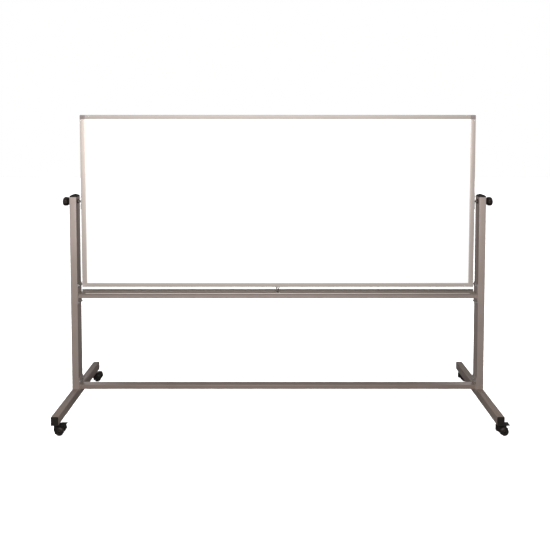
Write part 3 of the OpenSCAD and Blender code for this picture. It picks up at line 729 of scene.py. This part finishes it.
KNOB_FLUTES = 8
KNOB_RIM = 27.5
FLUTE = 7.0
FLUTE_DEPTH = 2.6
KNOB_PROFILE = [(26.0, 0.0), (26.0, 8.05), (0.3, 8.05), (0.0, 8.4), (0.0, 10.4), (0.6, 11.0), (3.0, 11.15),
                (4.6, 12.1), (7.0, 14.3), (10.0, 17.4), (13.0, 20.7), (15.8, 24.0), (17.6, 25.9), (18.8, 26.8),
                (20.2, 27.35), (22.0, 27.5), (28.0, 27.5), (34.0, 27.5), (36.4, 27.3), (38.4, 26.5), (40.0, 25.1),
                (41.2, 23.3), (41.9, 21.6), (42.1, 20.3), (41.8, 19.4), (41.8, 18.7), (42.4, 17.8), (43.1, 14.0),
                (43.7, 9.5), (43.9, 5.0), (44.0, 0.0)]


def fluted(along, radius, angle):
    """Knob radius with its finger flutes scooped out, softly at their edges."""
    if along < 12 * MM:
        return radius
    middle_r = (KNOB_RIM + FLUTE - FLUTE_DEPTH) * MM
    step = 2 * math.pi / KNOB_FLUTES
    off = (angle + step / 2) % step - step / 2
    across = middle_r * math.sin(off)
    if abs(across) >= FLUTE * MM:
        return radius
    scoop = middle_r * math.cos(off) - math.sqrt((FLUTE * MM) ** 2 - across ** 2)
    soft = 0.9 * MM
    blend = max(0.0, min(1.0, 0.5 + (scoop - radius) / (2 * soft)))
    return scoop * (1 - blend) + radius * blend - soft * blend * (1 - blend)


def knobs():
    for side, axis in (("left", "-X"), ("right", "+X")):
        low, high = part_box("knob_" + side)
        base = high.x if side == "left" else low.x
        place = axis_place((base, 0.0, middle("knob_" + side).z), axis)
        bm = bmesh.new()
        lathe(bm, [(a * MM, r * MM) for a, r in KNOB_PROFILE], place, 192, radius_at=fluted)
        piece(f"clamp_knob_{side}_grip", bm, KNOB_PLASTIC, "clamp_knob_" + side,
              ["knob_" + side], 0.0, 2, 40.0)
        paint("knob_insert_" + side, BRASS)


# ---------- the stand ----------

def frame_tubes():
    for side in ("left", "right"):
        refined(f"{side}_post", f"{side}_post_tube", FRAME_PAINT, "stand", 0.3 * MM)
        # the feet (and below, the lower crossbar) take the darker copy of the frame paint: painted shade
        refined(f"{side}_foot", f"{side}_foot_tube", FOOT_SHADED_PAINT, "stand", 0.3 * MM)
    refined("lower_crossbar", "lower_crossbar_tube", FOOT_SHADED_PAINT, "stand", 0.3 * MM)
    refined("upper_crossbar", "upper_crossbar_tube", FRAME_PAINT, "stand", 0.3 * MM)
    refined("crossbar_brackets", "crossbar_end_plates", FRAME_PAINT, "stand", 0.7 * MM, 3)
    for node in ("post_plugs", "caster_sockets"):
        paint(node, ZINC)
    refined("foot_bolts", "foot_hex_bolts", ZINC, "stand", 0.4 * MM)


def weld_beads():
    """Rippled fillet weld round each crossbar end, on its bracket."""
    bm = bmesh.new()
    for node in ("lower_crossbar", "upper_crossbar"):
        low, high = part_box(node)
        half_y, half_z = (high.y - low.y) / 2, (high.z - low.z) / 2
        centre_z = (low.z + high.z) / 2
        soft = 2.5 * MM
        outline = rounded([(-half_y, -half_z, soft), (half_y, -half_z, soft), (half_y, half_z, soft),
                           (-half_y, half_z, soft)], 6)
        path = []
        for a, b in zip(outline, outline[1:] + outline[:1]):
            count = max(1, round((Vector(b) - Vector(a)).length / (0.8 * MM)))
            path += [Vector(a).lerp(Vector(b), k / count) for k in range(count)]
        for end in (low.x, high.x):
            inward = 1.0 if end < 0 else -1.0
            rings = []
            for k, point in enumerate(path):
                ahead = path[(k + 1) % len(path)] - path[k - 1]
                out = Vector((ahead.y, -ahead.x)).normalized()
                size = (1.9 + 0.3 * math.sin(k * 1.9) + 0.12 * math.sin(k * 0.53 + end)) * MM
                ring = []
                for i in range(10):
                    turn = 2 * math.pi * i / 10
                    side = point + out * size * math.cos(turn)
                    ring.append(bm.verts.new((end + inward * size * math.sin(turn), side.x, centre_z + side.y)))
                rings.append(ring)
            skin(bm, rings, closed=True)
    piece("crossbar_weld_beads", bm, FRAME_PAINT, "stand", (), 0.0, 2, 60.0)


def bracket_bolts():
    """Bolts with a washer and a nut, threaded ends towards the board."""
    bm = bmesh.new()
    for low, high in solids("bracket_bolts"):
        right = low.x > 0
        length = (high.x - low.x) / MM
        place = axis_place((low.x if right else high.x, (low.y + high.y) / 2, (low.z + high.z) / 2),
                           "+X" if right else "-X") @ Matrix.Scale(MM, 4)
        lathe(bm, [(0.0, 0.0), (0.0, 3.0), (0.4, 3.4), (0.7, 3.9), (1.0, 3.45), (1.3, 4.0), (length - 0.6, 4.0),
                   (length, 3.4), (length, 0.0)], place, 48)
        lathe(bm, [(1.5, 0.0), (1.5, 6.1), (2.2, 7.0), (6.3, 7.0), (7.0, 6.1), (7.0, 0.0)], place, 96,
              radius_at=hexagon(7.0))
        lathe(bm, [(7.0, 0.0), (7.0, 8.2), (7.3, 8.5), (8.1, 8.5), (8.4, 8.2), (8.4, 0.0)], place, 64)
    piece("bracket_nuts_and_bolts", bm, ZINC, "stand", ["bracket_bolts"])


def lofted_cap(bm, place, half_w, half_d, corner, layers, dome=None):
    """Stacks rounded rectangles: layers are (along, inset). dome(x, y) gives the height of the last, closed ones."""
    rings = []
    base = rounded([(-half_w, -half_d, corner), (half_w, -half_d, corner), (half_w, half_d, corner),
                    (-half_w, half_d, corner)], 8)
    for along, inset in layers:
        ring = []
        for x, y in base:
            sx, sy = x * (1 - inset / half_w), y * (1 - inset / half_d)
            height = along + (dome(sx, sy) if dome else 0.0)
            ring.append(bm.verts.new(place @ Vector((sx, sy, height))))
        rings.append(ring)
    skin(bm, rings)
    return rings


def closed_ring(bm, ring, place, along):
    """Closes a ring with a fan round one middle vertex."""
    pole = bm.verts.new(place @ Vector((0.0, 0.0, along)))
    for a, b in zip(ring, ring[1:] + ring[:1]):
        bm.faces.new((a, b, pole))


POST_CAP_RISE = 17 * MM
POST_CAP_DOME = 55 * MM


def post_caps():
    bm = bmesh.new()
    for low, high in solids("post_caps"):
        half_w, half_d = (high.x - low.x) / 2, (high.y - low.y) / 2
        top = high.z
        place = Matrix.Translation(((low.x + high.x) / 2, 0.0, top))
        def crown(x, y):
            return math.sqrt(POST_CAP_DOME ** 2 - x * x - y * y) - POST_CAP_DOME
        seat = -POST_CAP_RISE
        inner = 2.1 * MM
        skirt = lofted_cap(bm, place, half_w, half_d, 4 * MM,
                           [(low.z - top, inner), (seat, inner), (seat, 0.5 * MM), (seat + 0.5 * MM, 0.0)])
        closed_ring(bm, skirt[0], place, low.z - top)
        soft = 1.8 * MM
        layers = [(-soft * (1 - math.sin(math.radians(a))), soft * (1 - math.cos(math.radians(a))))
                  for a in range(0, 91, 15)]
        layers += [(0.0, share * half_w) for share in (0.2, 0.35, 0.5, 0.65, 0.8, 0.92)]
        crowned = lofted_cap(bm, place, half_w, half_d, 4 * MM, layers, crown)
        skin(bm, [skirt[-1], crowned[0]])
        closed_ring(bm, crowned[-1], place, 0.0)
    piece("post_dome_caps", bm, BLACK_PLASTIC, "stand", ["post_caps"], 0.0, 2, 40.0)


def foot_caps():
    bm = bmesh.new()
    for low, high in solids("foot_end_caps"):
        half_w, half_h = (high.x - low.x) / 2, (high.z - low.z) / 2
        front = low.y < 0
        face = low.y if front else high.y
        place = axis_place((((low.x + high.x) / 2), face, (low.z + high.z) / 2), "-Y" if front else "+Y")
        depth = (high.y - low.y) / MM
        layers = [(-depth, 2.3), (-4.0, 2.3), (-4.0, 0.4), (-3.6, 0.0), (-1.7, 0.0), (-1.2, 0.12), (-0.7, 0.5),
                  (-0.35, 1.0), (-0.2, 1.7), (-0.15, 4.2), (-0.45, 4.6), (-0.5, 5.2), (-0.15, 5.8), (-0.1, 7.0),
                  (-0.05, 10.0), (-0.01, 14.0)]
        rings = lofted_cap(bm, place, half_w, half_h, 4 * MM, [(a * MM, i * MM) for a, i in layers])
        closed_ring(bm, rings[0], place, -depth * MM)
        closed_ring(bm, rings[-1], place, 0.0)
    piece("foot_plug_caps", bm, BLACK_PLASTIC, "stand", ["foot_end_caps"], 0.0, 2, 35.0)


# ---------- tray and catch ----------

LIP_R = 6.2          # rolled lip
LIP_HOLE = 4.6
LIP_AT = (-29.8, 7.8)  # its middle: depth, and height above the tray's underside
BEAD_R = 1.6
BEAD_AT = (27.4, 14.4)
TRAY_BACK = 29.0
TRAY_WALL = 2.0


def arc(centre, radius, start, end, steps):
    """Points on an arc, with angles in degrees."""
    return [(centre[0] + radius * math.cos(math.radians(start + (end - start) * k / steps)),
             centre[1] + radius * math.sin(math.radians(start + (end - start) * k / steps)))
            for k in range(steps + 1)]


def tray():
    floor_low, floor_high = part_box("tray_floor")
    lip_low, lip_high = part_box("tray_lip")
    outline = [(27.0, 0.0), (-29.0, 0.0), (-29.4, 0.4), (-29.4, TRAY_WALL - 0.3), (-29.1, TRAY_WALL)]
    for ridge in range(12):
        y = -23.0 + 4.0 * ridge
        outline += [(y - 0.9, TRAY_WALL), (y - 0.4, TRAY_WALL + 0.35),
                    (y + 0.4, TRAY_WALL + 0.35), (y + 0.9, TRAY_WALL)]
    outline += [(25.6, TRAY_WALL), (26.6, TRAY_WALL + 0.4), (27.0, TRAY_WALL + 1.4)]
    wall = [(TRAY_BACK - 0.4, 0.0), (27.0, 0.0), (27.0, TRAY_WALL + 1.4)]
    wall += arc(BEAD_AT, BEAD_R, 255, 0, 14)[:-1] + [(TRAY_BACK, BEAD_AT[1]), (TRAY_BACK, 0.4)]
    rolled = [arc(LIP_AT, LIP_R, 0, 360, 44)[:-1], arc(LIP_AT, LIP_HOLE, 0, 360, 44)[:-1]]
    place = columns((0, 1, 0), (0, 0, 1), (1, 0, 0), (0.0, 0.0, floor_low.z))
    bm = bmesh.new()
    for loops, low, high in (([outline], floor_low, floor_high), (rolled, lip_low, lip_high)):
        prism(bm, [[(y * MM, z * MM) for y, z in loop] for loop in loops], (low.x, high.x), place)
    piece("tray_extrusion", bm, TRAY_METAL, "stand", ["tray_floor", "tray_lip"], 0.0, 2, 28.0)
    # The back wall is a separate piece in the dark copy of the tray aluminium: painted shade
    bm = bmesh.new()
    prism(bm, [[(y * MM, z * MM) for y, z in wall]], (floor_low.x, floor_high.x), place)
    piece("tray_back_edge", bm, TRAY_BACK_SHADED_METAL, "stand", ["tray_back_wall"], 0.0, 2, 28.0)
    refined("tray_end_caps", "tray_end_plugs", GREY_PLASTIC, "stand", 0.6 * MM)

    flush = cross_head(4.0, 1.2, 2.0, 10.5, countersunk=True)
    domed = cross_head(4.0, 2.0, 2.0, 11.0)
    bm = bmesh.new()
    for low, high in solids("tray_screws"):
        x = (low.x + high.x) / 2
        central = abs(x) < 50 * MM
        thick = (2.0 if central else 1.2) * MM
        place = Matrix.Translation((x, (low.y + high.y) / 2, high.z - thick)) @ Matrix.Scale(MM, 4)
        stamp(bm, domed if central else flush, place)
    piece("tray_cross_screws", bm, ZINC, "stand", ["tray_screws"])
    refined("catch_fork", "catch_fork_moulding", CATCH_PLASTIC, "stand", 0.6 * MM, 3)


# ---------- casters ----------

WHEEL_PROFILE = [(0.0, 3.05), (0.0, 6.6), (0.4, 7.0), (0.5, 7.0), (0.5, 9.0), (0.8, 9.4), (0.8, 18.0), (0.5, 18.6),
                 (0.5, 22.2), (0.8, 23.1), (1.6, 23.75), (2.6, 24.0), (4.8, 24.0), (5.1, 23.75), (5.7, 23.75),
                 (6.0, 24.0), (14.0, 24.0)]
WHEEL_FACE = [(19.8, 17.5), (19.6, 17.1), (19.6, 12.8), (19.9, 12.3), (21.6, 11.9), (22.0, 11.5), (22.0, 9.5),
              (21.7, 9.05), (19.0, 8.9), (18.5, 8.5), (18.5, 3.05)]
WHEEL_DOME = 33.0
WHEEL_INNER = 7.5    # from the caster's middle plane to the wheel's inner boss


def wheel_profile():
    """Closed half section of a wheel: (along the axle from its inner boss, radius)."""
    dome = []
    for k in range(10):
        out = 22.7 + (27.3 - 22.7) * k / 9
        dome.append((out - WHEEL_INNER, math.sqrt(WHEEL_DOME ** 2 - out ** 2)))
    return [(a * MM, r * MM) for a, r in WHEEL_PROFILE + dome + WHEEL_FACE]


def casters():
    for name in CASTERS:
        body = "caster_" + name
        refined(f"caster_housing_{name}", f"caster_{name}_hood", CASTER_PLASTIC, body, 0.6 * MM, 3)
        low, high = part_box("caster_axle_" + name)
        centre, half = (low + high) / 2, (high.y - low.y) / 2
        end = [(half, 0.0), (half - 0.1 * MM, 2.0 * MM), (half - 0.45 * MM, 3.6 * MM), (half - 1.0 * MM, 4.6 * MM),
               (half - 1.6 * MM, 5.0 * MM), (half - 2.5 * MM, 5.0 * MM), (half - 2.5 * MM, 3.0 * MM)]
        bm = bmesh.new()
        lathe(bm, end + [(-a, r) for a, r in reversed(end)], axis_place(centre, "+Y"))
        piece(f"caster_{name}_axle_rivet", bm, DARK_ZINC, body, ["caster_axle_" + name])
        for side, axis in (("a", "-Y"), ("b", "+Y")):
            node = f"wheel_{name}_{side}"
            low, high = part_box(node)
            centre = (low + high) / 2
            inner = high.y if side == "a" else low.y
            bm = bmesh.new()
            lathe(bm, wheel_profile(), axis_place((centre.x, inner, centre.z), axis), 96, closed=True)
            wheel_ribs(bm, axis_place((centre.x, inner, centre.z), axis))
            piece(f"{node}_moulding", bm, WHEEL_PLASTIC, node, [node], 0.0, 2, 35.0)
    brake_levers()
    caster_stems()
    refined("caster_washers", "caster_thrust_washers", BLACK_PLASTIC, "stand", 0.15 * MM)


def wheel_ribs(bm, place):
    """Short ribs across the ring groove in a wheel's outer face."""
    for k in range(6):
        turn = place @ Matrix.Rotation(k * math.pi / 3, 4, "Z")
        outline = rounded([(11.8, -0.8, 0.3), (17.3, -0.8, 0.3), (17.3, 0.8, 0.3), (11.8, 0.8, 0.3)], 2)
        prism(bm, [[(x * MM, y * MM) for x, y in outline]], (19.3 * MM, 20.2 * MM), turn)


# Millimetres, from the caster's swivel axis and from the floor.
CASTER_TRAIL = 24.0
LEVER_PIVOT = (16.0, 54.0)
PEDAL_END = 58.0
PEDAL_RISE = 2.0
RIB_HEIGHT = 1.3
RIB_HALF = 12.5 * MM


def brake_levers():
    for side in ("left", "right"):
        node = "brake_lever_" + side
        bm = node_mesh(node)
        axle = middle("caster_axle_front_" + side)
        stem = (axle.x - CASTER_TRAIL * MM, axle.y)
        slope = math.atan2(PEDAL_RISE, PEDAL_END - LEVER_PIVOT[0])
        for along in (13.0, 17.0, 21.0, 25.0, 29.0, 33.0):
            x = stem[0] + (LEVER_PIVOT[0] + along * math.cos(slope) - RIB_HEIGHT * math.sin(slope)) * MM
            z = (LEVER_PIVOT[1] + along * math.sin(slope) + RIB_HEIGHT * math.cos(slope)) * MM
            lathe(bm, [(-RIB_HALF, 0.0), (-RIB_HALF + 0.3 * MM, 0.6 * MM), (-RIB_HALF + 0.8 * MM, 0.9 * MM),
                       (RIB_HALF - 0.8 * MM, 0.9 * MM), (RIB_HALF - 0.3 * MM, 0.6 * MM), (RIB_HALF, 0.0)],
                  axis_place((x, stem[1], z), "+Y"), 16)
        piece(f"brake_{side}_pedal", bm, LEVER_PLASTIC, "brake_" + side, [node], 0.35 * MM, 2, 35.0)


def caster_stems():
    bm = bmesh.new()
    for low, high in solids("caster_stems"):
        place = Matrix.Translation(((low.x + high.x) / 2, (low.y + high.y) / 2, 0.0))
        bottom, top = low.z, high.z
        hex_low, hex_high, corner = 54.5 * MM, 62 * MM, 10 * MM
        lathe(bm, [(bottom, 0.0), (bottom, 3.4 * MM), (bottom + 0.6 * MM, 4 * MM), (hex_low + 0.2 * MM, 4 * MM),
                   (hex_low + 0.2 * MM, 0.0)], place, 48)
        lathe(bm, [(hex_low, 0.0), (hex_low, 8.9 * MM), (hex_low + 0.9 * MM, corner), (hex_high - 0.9 * MM, corner),
                   (hex_high, 8.9 * MM), (hex_high, 0.0)], place, 96, radius_at=hexagon(corner))
        thread = [(hex_high - 0.2 * MM, 0.0)]
        turn = hex_high - 0.2 * MM
        while turn < top - 1.6 * MM:
            thread += [(turn, 4.35 * MM), (turn + 0.75 * MM, 5.0 * MM)]
            turn += 1.5 * MM
        thread += [(turn, 4.35 * MM), (top, 3.8 * MM), (top, 0.0)]
        lathe(bm, thread, place, 48)
    piece("caster_threaded_stems", bm, ZINC, "stand", ["caster_stems"])


# ---------- everything in place ----------

make_camera()
make_world()
make_lights(make_floor())
board_rails()
board_corners()
pivot_stack()
for node, material in (("board_core", CORE), ("front_surface", ENAMEL), ("rear_surface", ENAMEL)):
    paint(node, material)
light_far_face()
knobs()
frame_tubes()
weld_beads()
bracket_bolts()
post_caps()
foot_caps()
tray()
casters()

bpy.context.scene.view_settings.view_transform = "Standard"
bpy.context.scene.view_settings.look = "None"
